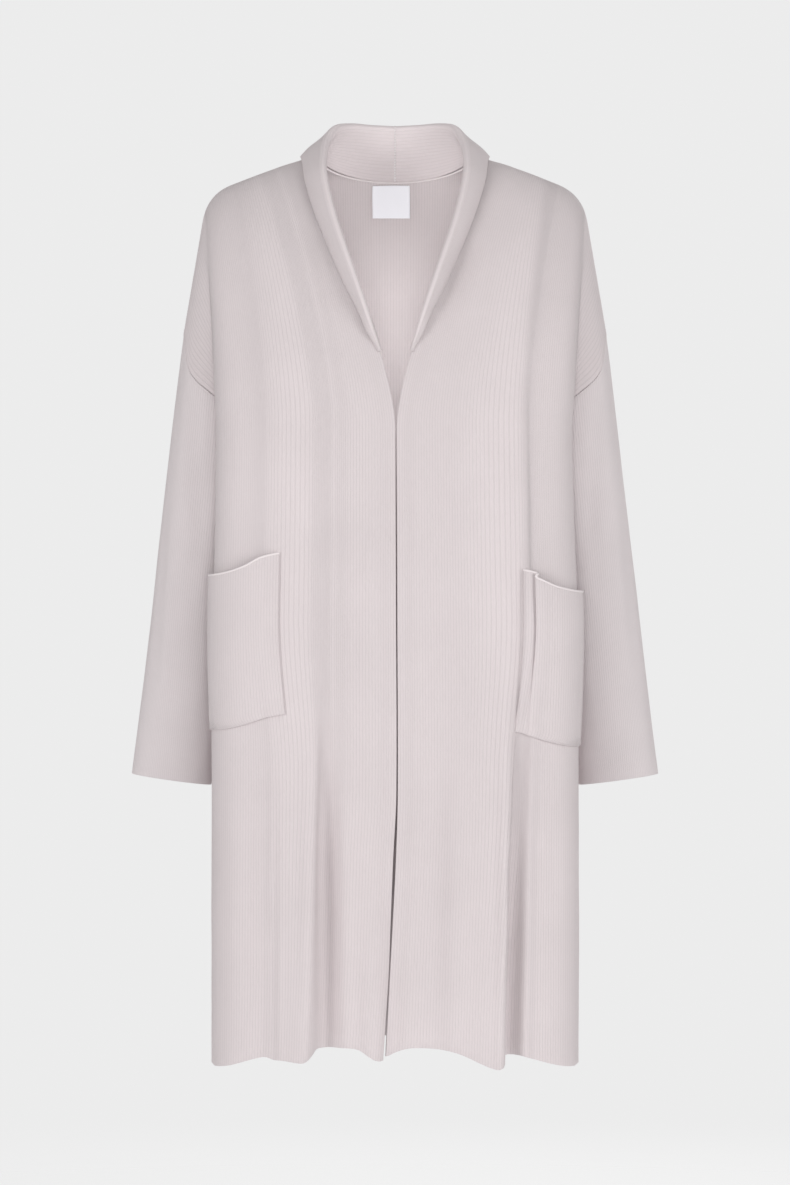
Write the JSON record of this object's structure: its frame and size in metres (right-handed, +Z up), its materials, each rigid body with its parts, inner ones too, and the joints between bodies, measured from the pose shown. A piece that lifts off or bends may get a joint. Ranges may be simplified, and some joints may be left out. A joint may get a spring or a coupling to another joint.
{
  "type": "duster cardigan",
  "caption": "Long open-front knitted duster cardigan with a shawl collar, dropped shoulders and slanted patch pockets, hollow and filled out as when worn",
  "frame": {"origin": "Midway between the two places where the shoulders meet the neck, at their level: where the wearer's shoulders hold the coat up.", "axes": "+Z up along the coat's length, -Y out of the front opening, +X towards the wearer's left sleeve."},
  "size_m": [0.5922, 0.2736, 1.0502],
  "materials": {
    "body_knit": "fine soft wool knit, matt, dusty rose-grey, faint vertical ribs and a light fuzz",
    "collar_knit": "the same knit, a little denser, with its ribs along the collar",
    "label_cloth": "white woven satin, blank"
  },
  "bodies": {
    "root": {"front_left": "body_knit", "front_right": "body_knit", "back": "body_knit", "sleeve_left": "body_knit", "sleeve_right": "body_knit", "collar_left": "collar_knit", "collar_right": "collar_knit", "pocket_left": "body_knit", "pocket_right": "body_knit", "neck_label": "label_cloth"}
  },
  "joints": []
}
